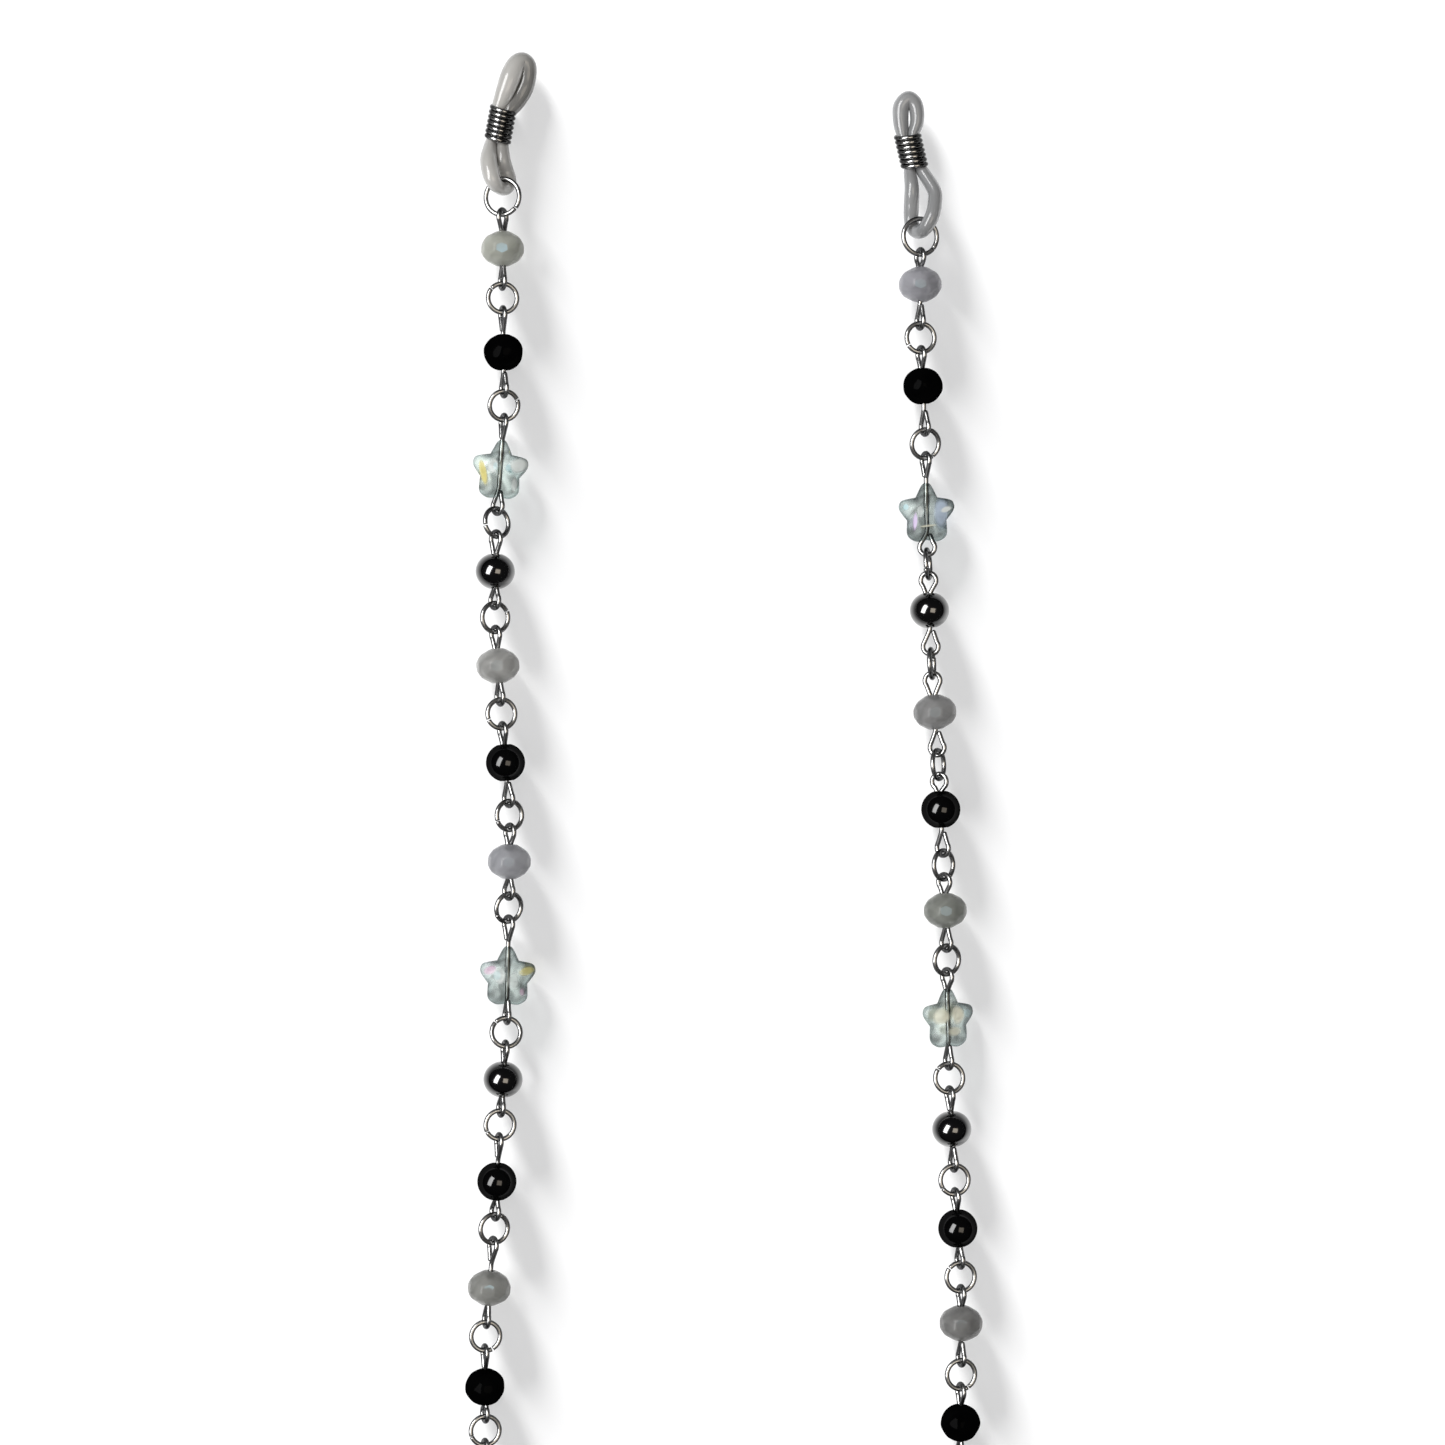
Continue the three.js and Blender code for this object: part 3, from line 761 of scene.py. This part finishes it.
def steel_material():
    """Bright plated wire: a sharp reflection over a broad soft one, with painted shade darkening
    it towards its edges.
    """
    n = Nodes("polished_wire")
    scratches = n.noise(900.0, 3.0)
    sharp_rough = n.ramp(scratches, [(0.3, grey(0.10)), (0.7, grey(0.20))])
    soft_rough = n.ramp(scratches, [(0.3, grey(0.40)), (0.7, grey(0.50))])
    # Painted shade: the wire's colour darkens towards its edges, where it would reflect the lit
    # table.
    color = n.ramp(n.facing(), [(0.0, (0.90, 0.90, 0.89)), (0.14, (0.58, 0.58, 0.58)),
                                (0.27, (0.17, 0.172, 0.175)), (0.4, (0.06, 0.061, 0.063)),
                                (1.0, (0.03, 0.031, 0.033))])
    sharp = n.add("ShaderNodeBsdfPrincipled", {
        "Base Color": color, "Metallic": 1.0, "Roughness": sharp_rough})
    soft = n.add("ShaderNodeBsdfPrincipled", {
        "Base Color": color, "Metallic": 1.0, "Roughness": soft_rough})
    mixed = n.add("ShaderNodeMixShader", {0: 0.32, 1: sharp.outputs[0], 2: soft.outputs[0]})
    return n.finish(mixed.outputs[0])


def spring_material():
    """The coil's spring wire, bright along one strip, with painted shade darkening its sides and
    the edges of each turn.
    """
    n = Nodes("spring_wire")
    scratches = n.noise(900.0, 3.0)
    rough = n.ramp(scratches, [(0.3, grey(0.20)), (0.7, grey(0.28))])
    # Painted shade: the wire's colour darkens towards the edges of each turn.
    color = n.ramp(n.facing(), [(0.0, (0.95, 0.95, 0.94)), (0.22, (0.62, 0.62, 0.61)),
                                (0.45, (0.11, 0.112, 0.113)), (1.0, (0.05, 0.052, 0.055))])
    # Painted shade across the coil's width, in its own frame: dark towards both sides, bright
    # along one strip.
    across = n.add("ShaderNodeSeparateXYZ", {0: n.coordinates()}).outputs["X"]
    reach = (COIL["radius"] + COIL["wire"]) * MM
    place_across = n.add("ShaderNodeMapRange", {
        "Value": across, "From Min": -reach, "From Max": reach}).outputs[0]
    painted_flank_shade = n.ramp(place_across, [(0.0, grey(0.10)), (0.16, grey(0.22)), (0.24, grey(1.0)),
                                   (0.60, grey(1.0)), (0.72, grey(0.20)), (1.0, grey(0.10))])
    color = n.mix_color(1.0, color, painted_flank_shade, "MULTIPLY")
    shader = n.add("ShaderNodeBsdfPrincipled", {
        "Base Color": color, "Metallic": 1.0, "Roughness": rough})
    return n.finish(shader.outputs[0])


def gunmetal_material():
    """Bright grey plating, with a band of painted shade part of the way to its edge."""
    n = Nodes("gunmetal_plate")
    rough = n.ramp(n.noise(400.0, 3.0), [(0.3, grey(0.09)), (0.7, grey(0.14))])
    # Painted shade: the colour drops to a dark band partway out, widening the dark reflection in
    # the middle.
    color = n.ramp(n.facing(), [(0.0, grey(0.24)), (0.24, grey(0.20)), (0.29, grey(0.025)),
                                (0.37, grey(0.06)), (0.48, grey(0.16)), (0.64, grey(0.25)),
                                (1.0, grey(0.28))])
    shader = n.add("ShaderNodeBsdfPrincipled", {
        "Base Color": color, "Metallic": 1.0, "Roughness": rough})
    return n.finish(shader.outputs[0])


def black_glass_material(name, gloss):
    """Opaque black glass whose reflection fades towards the edge: painted shade that keeps its
    rim black.
    """
    n = Nodes(name)
    haze = n.noise(300.0, 3.0)
    color = n.ramp(haze, [(0.3, (0.0006, 0.0006, 0.0007)), (0.7, (0.0016, 0.0017, 0.0018))])
    rough = n.ramp(haze, [(0.3, grey(0.06)), (0.7, grey(0.11))])
    body = n.add("ShaderNodeBsdfDiffuse", {"Color": color})
    polish = n.add("ShaderNodeBsdfGlossy", {"Color": (1, 1, 1, 1), "Roughness": rough})
    # Painted shade: the gloss share falls towards the edge, so the rim doesn't reflect the lit
    # table.
    share = n.ramp(n.facing(), [(0.0, grey(gloss)), (0.2, grey(gloss * 0.6)),
                                (0.34, grey(gloss * 0.1)), (1.0, grey(gloss * 0.05))])
    mixed = n.add("ShaderNodeMixShader", {0: share, 1: body.outputs[0], 2: polish.outputs[0]})
    return n.finish(mixed.outputs[0])


def opal_material():
    """Milky glass. Its object's colour is a bead's tint; the alpha is how strong the painted
    highlight is on a facet that faces the viewer."""
    n = Nodes("opal_glass")
    bead = n.add("ShaderNodeObjectInfo")
    tint = bead.outputs["Color"]
    cloud = n.noise(230.0, 2.0, distortion=0.8)
    milk = n.ramp(cloud, [(0.32, grey(0.80)), (0.68, grey(1.20))], smooth=True)
    color = n.mix_color(1.0, tint, milk, "MULTIPLY")
    # Painted light: the colour is lifted towards the rim.
    rim = n.ramp(n.facing(), [(0.0, grey(1.0)), (0.5, grey(0.98)), (0.9, grey(1.15))])
    color = n.mix_color(1.0, color, rim, "MULTIPLY")
    # Painted highlight: a pale blue-grey on the facet that faces the viewer, so it follows the
    # viewer.
    level = n.ramp(n.facing(), [(0.0, grey(1.0)), (0.008, grey(1.0)), (0.02, grey(0.0))])
    painted_facet_light = n.add("ShaderNodeMath", {0: level, 1: bead.outputs["Alpha"]}, operation="MULTIPLY")
    color = n.mix_color(painted_facet_light.outputs[0], color, (0.56, 0.70, 0.74))
    shader = n.add("ShaderNodeBsdfPrincipled", {
        "Base Color": color, "Roughness": 0.16, "IOR": 1.45, "Specular IOR Level": 0.22,
        "Subsurface Weight": 0.35, "Subsurface Radius": (1.0, 1.0, 1.05),
        "Subsurface Scale": 0.0010, "Transmission Weight": 0.15})
    return n.finish(shader.outputs[0])


def star_material(name, patches, clarity):
    """Clear pressed glass under an iridescent coat, whose colours are patches of painted
    reflection and painted highlight, listed for each star.
    """
    n = Nodes(name)
    at = n.coordinates()
    wobble = n.noise(240.0, 1.5, at=at)
    streak = n.noise(230.0, 1.0, distortion=1.2, at=at)
    smoke = n.ramp(streak, [(0.38, grey(0.42 * clarity)), (0.6, grey(clarity))], smooth=True)
    # Painted shade: the glass colour darkens from its middle towards its edge.
    depth = n.ramp(n.facing(), [(0.0, (0.88, 0.93, 0.91)), (0.3, (0.68, 0.74, 0.73)),
                                (0.7, (0.55, 0.60, 0.60)), (1.0, (0.60, 0.65, 0.65))])
    edge = n.mix_color(1.0, depth, smoke, "MULTIPLY")
    glass = n.add("ShaderNodeBsdfPrincipled", {
        "Base Color": edge, "Roughness": 0.05, "IOR": 1.28, "Transmission Weight": 1.0})
    clear = n.add("ShaderNodeBsdfTransparent", {"Color": edge})
    shader = n.add("ShaderNodeMixShader", {
        0: 0.72, 1: glass.outputs[0], 2: clear.outputs[0]}).outputs[0]
    # Each patch paints on the coat's colour: painted reflection, and the white ones painted
    # highlights.
    for x, y, half_width, half_height, turn, color, strength in patches:
        moved = n.add("ShaderNodeMapping", {
            "Vector": at, "Location": (x * MM, y * MM, 0),
            "Rotation": (0, 0, math.radians(turn)),
            "Scale": (half_width * MM, half_height * MM, 1)}, vector_type="TEXTURE")
        flat = n.add("ShaderNodeVectorMath", {0: moved.outputs[0], 1: (1, 1, 0)},
                     operation="MULTIPLY")
        length = n.add("ShaderNodeVectorMath", {0: flat.outputs[0]}, operation="LENGTH")
        near = n.add("ShaderNodeMath", {0: length.outputs["Value"], 1: wobble},
                     operation="ADD")
        fade = n.add("ShaderNodeMapRange", {
            "Value": near.outputs[0], "From Min": 1.05, "From Max": 1.65,
            "To Min": strength, "To Max": 0.0}, interpolation_type="SMOOTHSTEP")
        coat = n.add("ShaderNodeBsdfPrincipled", {
            "Base Color": (*color, 1), "Roughness": 0.35, "Sheen Weight": 0.3})
        shader = n.add("ShaderNodeMixShader", {
            0: fade.outputs[0], 1: shader, 2: coat.outputs[0]}).outputs[0]
    return n.finish(shader)


def silicone_material():
    """Milky silicone under a gloss. The painted shade of each of the cord's legs is an attribute
    of its mesh.
    """
    n = Nodes("milky_silicone")
    cloud = n.noise(150.0, 2.0)
    milk = n.ramp(cloud, [(0.3, grey(0.92)), (0.7, grey(1.06))], smooth=True)
    # Painted shade: the colour darkens from the cord's middle towards its edges.
    depth = n.ramp(n.facing(), [(0.0, (0.62, 0.61, 0.585)), (0.35, (0.54, 0.535, 0.515)),
                                (0.75, (0.50, 0.50, 0.49)), (1.0, (0.46, 0.46, 0.45))])
    color = n.mix_color(1.0, depth, milk, "MULTIPLY")
    shade = n.add("ShaderNodeAttribute", attribute_name="shade").outputs["Color"]
    color = n.mix_color(1.0, color, shade, "MULTIPLY")
    shader = n.add("ShaderNodeBsdfPrincipled", {
        "Base Color": color, "Roughness": 0.3, "IOR": 1.4,
        "Subsurface Weight": 0.2, "Subsurface Radius": (1.0, 1.0, 0.95),
        "Subsurface Scale": 0.0006, "Coat Weight": 0.8, "Coat Roughness": 0.06, "Coat IOR": 1.75})
    return n.finish(shader.outputs[0])


def floor_material():
    """A matt white table top."""
    n = Nodes("white_table")
    grain = n.noise(60.0, 4.0)
    color = n.ramp(grain, [(0.3, grey(0.90)), (0.7, grey(0.92))])
    shader = n.add("ShaderNodeBsdfDiffuse", {"Color": color, "Roughness": 0.5})
    return n.finish(shader.outputs[0])


# ---- building the chain ----
def build_beads():
    """The meshes that beads of each kind take in turn."""
    beads = {kind: [ball_mesh(kind, HALF_LENGTH[kind])] for kind in ("ball", "gunmetal")}
    beads["star"] = [star_mesh()]
    for kind, cut in CUTS.items():
        beads[kind] = []
        for i in range(cut["variants"]):
            planes = facet_planes(
                cut["rows"], cut["count"], cut["end"], cut["jitter"], cut["seed"] + i)
            beads[kind].append(cut_mesh(f"{kind}_{i}", planes, cut["sharpness"]))
    return beads


def rested_mesh(mesh, spin, height):
    """A bead flattened so that, turned about its pin, it doesn't sink into the table."""
    turn = Matrix.Rotation(spin, 4, "Y")
    rested = mesh.copy()
    rested.transform(turn)
    depth = -min(vertex.co.z for vertex in rested.vertices)
    flatter = Matrix.Diagonal((1, 1, min(1.0, height * MM / depth), 1))
    rested.transform(turn.inverted() @ flatter)
    return rested


def build_link(link, index, bead_meshes, materials):
    """One bead and its pin. The index picks the bead's mesh and how it is turned."""
    y = (link["top"] - link["bottom"]).normalized()
    z = Vector((0, 0, 1))
    x = y.cross(z).normalized()
    matrix = basis(x, y, x.cross(y), link["centre"])
    kind = link["kind"]
    variants = bead_meshes[kind]
    mesh = variants[index % len(variants)]
    material = materials.get(kind)
    spin = link["turn"]
    if kind in CUTS:
        facets = CUTS[kind]["count"]
        spin = 2 * math.pi * random.Random(index * 7 + 3).randrange(facets) / facets
        mesh = rested_mesh(mesh, spin, link["centre"].z)
    if kind == "star":
        mesh = mesh.copy()
        material = materials.get(link["name"], materials["neck_star"])
    turned = matrix @ Matrix.Rotation(spin, 4, "Y")
    owner = (link["body"], link["node"])
    stuff = "metal" if kind == "gunmetal" else "glass"
    bead = place(f"{link['name']}_{stuff}", mesh, material, turned, *owner, SLOTS[kind])
    if kind == "opal":
        # The alpha sets the painted highlight on the facet that faces the viewer.
        bead.color = OPAL_TINTS.get(link["name"], NECK_OPAL_TINT)
    place(f"{link['name']}_pin", pin_mesh(link, matrix), materials["steel"], matrix, *owner,
          "steel_wire")


def build_ring(name, ring, mesh, seam, material):
    """A ring with its seam turned to an angle in degrees."""
    matrix = ring["matrix"] @ Matrix.Rotation(math.radians(seam), 4, "Z")
    return place(name, mesh, material, matrix, ring["body"], ring["node"], "steel_wire")


def slider_matrix(side):
    """The coil slider's frame, from its slide joint and its CAD node."""
    low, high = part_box(f"{side}_coil_slider")
    y = joint_axis(f"{side}_coil_slide")
    z = Vector((0, 0, 1))
    return basis(y.cross(z).normalized(), y, z, (low + high) / 2 / MM)


def cord_piece(name, rows, shades, tint, side, material):
    """A length of cord. shades are the painted shade of its first and of its second leg."""
    turn_start, turn_end = CORD_SHADE_TURN
    route = smooth_route(rows, 8)
    centres = [Vector(row[:3]) for row in route]
    sizes = [(row[3], row[4]) for row in route]
    vertices, faces = tube(centres, sizes, CORD_SIDES, up=Vector((0, 0, 1)))
    mesh = make_mesh(name, vertices, faces)
    shade = mesh.attributes.new("shade", "FLOAT_COLOR", "POINT")
    for index in range(len(vertices)):
        share = (index // CORD_SIDES) / (len(vertices) / CORD_SIDES)
        blend = min(max((share - turn_start) / (turn_end - turn_start), 0.0), 1.0)
        blend = blend * blend * (3 - 2 * blend)
        light = shades[0] + (shades[1] - shades[0]) * blend
        shade.data[index].color = (*(light * channel for channel in tint), 1.0)
    return place(name, mesh, material, Matrix.Identity(4), f"{side}_temple_loop",
                 f"{side}_temple_loop", "silicone")


def build_temple_loop(side, ring, materials):
    """The silicone loop above and below its coil, and the coil."""
    frame_matrix = slider_matrix(side)
    ring_centre = ring["matrix"].translation

    def from_slider(x, y, z, width, height):
        return (*(frame_matrix @ Vector((x, y, z))), width, height)

    def from_ring(x, y, z, width, height):
        return (*(ring_centre + Vector((x, y, z))), width, height)

    spec = LOOPS[side]
    upper = cord_piece(f"{side}_loop_upper", [from_slider(*row) for row in spec["upper"]],
                       spec["upper_shades"], spec["tint"], side, materials["silicone"])
    lower_rows = [from_slider(*row) for row in CORD_AT_COIL]
    lower_rows += [from_ring(*row) for row in spec["lower"]]
    lower_rows += [from_slider(-x, *row) for x, *row in reversed(CORD_AT_COIL)]
    cord_piece(f"{side}_loop_lower", lower_rows, spec["lower_shades"], spec["tint"], side,
               materials["silicone"])
    place(f"{side}_coil", coil_mesh(), materials["spring"], frame_matrix,
          f"{side}_coil_slider", f"{side}_coil_slider", "steel_wire")
    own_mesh(upper)


def build_chain(materials):
    """Both strands and the neck."""
    bead_meshes = build_beads()
    jump_ring, end_ring = ring_mesh(RING), ring_mesh(END_RING)
    strands = {side: strand_links(side) for side in ("left", "right")}
    index = 0
    rng = random.Random(5)
    for side, (rings, links) in strands.items():
        for ring in rings:
            last = ring is rings[0]
            seam = END_RING_SEAM if last else rng.choice(SEAM_TURNS)
            build_ring(f"{ring['node']}_wire", ring, end_ring if last else jump_ring, seam,
                       materials["steel"])
        for link in links:
            build_link(link, index, bead_meshes, materials)
            index += 1
        build_temple_loop(side, rings[0], materials)
    left_rings, left = strands["left"]
    right_rings, right = strands["right"]
    rings, links = neck_links(left_rings[-1], left[-1], right_rings[-1], right[-1])
    for number, ring in enumerate(rings, 1):
        build_ring(f"neck_ring_{number:02d}_wire", ring, jump_ring, NECK_SEAM_STEP * number,
                   materials["steel"])
    for link in links:
        build_link(link, index, bead_meshes, materials)
        index += 1


# ---- the stage ----
def collection_of(name, objects):
    """A collection of the objects that a light reaches."""
    group = bpy.data.collections.new(name)
    bpy.context.scene.collection.children.link(group)
    for item in objects:
        group.objects.link(item)
    return group


def build_floor(material):
    corners = [(-1, -1), (1, -1), (1, 1), (-1, 1)]
    mesh = make_mesh("table_top", [(x * TABLE_REACH, y * TABLE_REACH, 0) for x, y in corners],
                     [(0, 1, 2, 3)])
    floor = bpy.data.objects.new("table", mesh)
    mesh.materials.append(material)
    bpy.context.scene.collection.objects.link(floor)
    return floor


def add_light(data, direction, distance, target, receivers, roll=0.0):
    """Puts a light at a distance from the target, facing it, and lets it reach the receivers."""
    light = bpy.data.objects.new(data.name, data)
    bpy.context.scene.collection.objects.link(light)
    light.location = target + Vector(direction).normalized() * distance
    light.rotation_mode = "QUATERNION"
    facing = (-Vector(direction)).to_track_quat("-Z", "Y")
    turn = Matrix.Rotation(math.radians(roll), 3, "Z").to_quaternion()
    light.rotation_quaternion = facing @ turn
    light.light_linking.receiver_collection = receivers


def build_suns(target, receivers):
    """A low broad light that casts the table's shadow, and a light from above that softens it."""
    for name, direction, strength, angle, shadows in SUNS:
        data = bpy.data.lights.new(name, "SUN")
        data.energy = strength
        data.use_shadow = shadows
        if angle is not None:
            data.angle = math.radians(angle)
        add_light(data, direction, 1.0, target, receivers)


def build_softboxes(target, receivers):
    """A large white light and a small warm one, seen as highlights on the chain."""
    for name, direction, (width, length), radiance, color, roll in SOFTBOXES:
        data = bpy.data.lights.new(name, "AREA")
        data.shape = "RECTANGLE"
        data.size = width
        data.size_y = length
        data.energy = radiance * math.pi * width * length
        data.color = color
        add_light(data, direction, SOFTBOX_DISTANCE, target, receivers, roll)


def build_lights(floor, target):
    """Suns reach only the table, and softboxes reach only the chain's pieces."""
    build_suns(target, collection_of("lit_by_suns", [floor]))
    chain = [item for item in bpy.context.scene.objects
             if item.type == "MESH" and item.name.startswith(("left_", "right_", "neck_"))
             and item.name not in NODES]
    build_softboxes(target, collection_of("lit_by_softboxes", chain))


def build_world():
    """Pale to the eye, dim to matt surfaces and nearly black in reflections."""
    world = bpy.data.worlds.new("studio")
    bpy.context.scene.world = world
    world.use_nodes = True
    tree = world.node_tree
    tree.nodes.clear()
    path = tree.nodes.new("ShaderNodeLightPath")
    output = tree.nodes.new("ShaderNodeOutputWorld")

    def background(ray):
        node = tree.nodes.new("ShaderNodeBackground")
        node.inputs["Color"].default_value = (*WORLD[ray], 1)
        return node.outputs[0]

    def mix(factor, a, b):
        node = tree.nodes.new("ShaderNodeMixShader")
        tree.links.new(factor, node.inputs[0])
        tree.links.new(a, node.inputs[1])
        tree.links.new(b, node.inputs[2])
        return node.outputs[0]

    seen = mix(path.outputs["Is Camera Ray"], background("other"), background("camera"))
    lit = mix(path.outputs["Is Diffuse Ray"], seen, background("matt"))
    tree.links.new(lit, output.inputs["Surface"])


def build_camera(view_centre):
    """Straight down over the middle of the view."""
    data = bpy.data.cameras.new("camera")
    data.lens = LENS
    data.sensor_width = SENSOR
    data.clip_start = 0.01
    data.clip_end = 20
    camera = bpy.data.objects.new("camera", data)
    bpy.context.scene.collection.objects.link(camera)
    rise = VIEW_HEIGHT + VIEW_WIDTH * LENS / SENSOR
    camera.location = (view_centre + Vector((0, 0, rise))) * MM
    bpy.context.scene.camera = camera


def main():
    bpy.context.scene.view_settings.view_transform = "Standard"
    materials = {
        "steel": steel_material(), "spring": spring_material(),
        "gunmetal": gunmetal_material(), "ball": black_glass_material("black_glass", 0.08),
        "faceted": black_glass_material("cut_black_glass", 0.0012),
        "opal": opal_material(), "silicone": silicone_material(),
    }
    for star, patches in STAR_COAT_PAINTED_LIGHT.items():
        materials[star] = star_material(f"coated_glass_{star}", patches, STAR_CLARITY[star])
    build_chain(materials)
    floor = build_floor(floor_material())
    view_centre = joint_point("left_temple_loop_swing").xy + Vector(VIEW_FROM_END_RING)
    view_centre = view_centre.to_3d()
    build_lights(floor, view_centre * MM)
    build_world()
    build_camera(view_centre)


main()
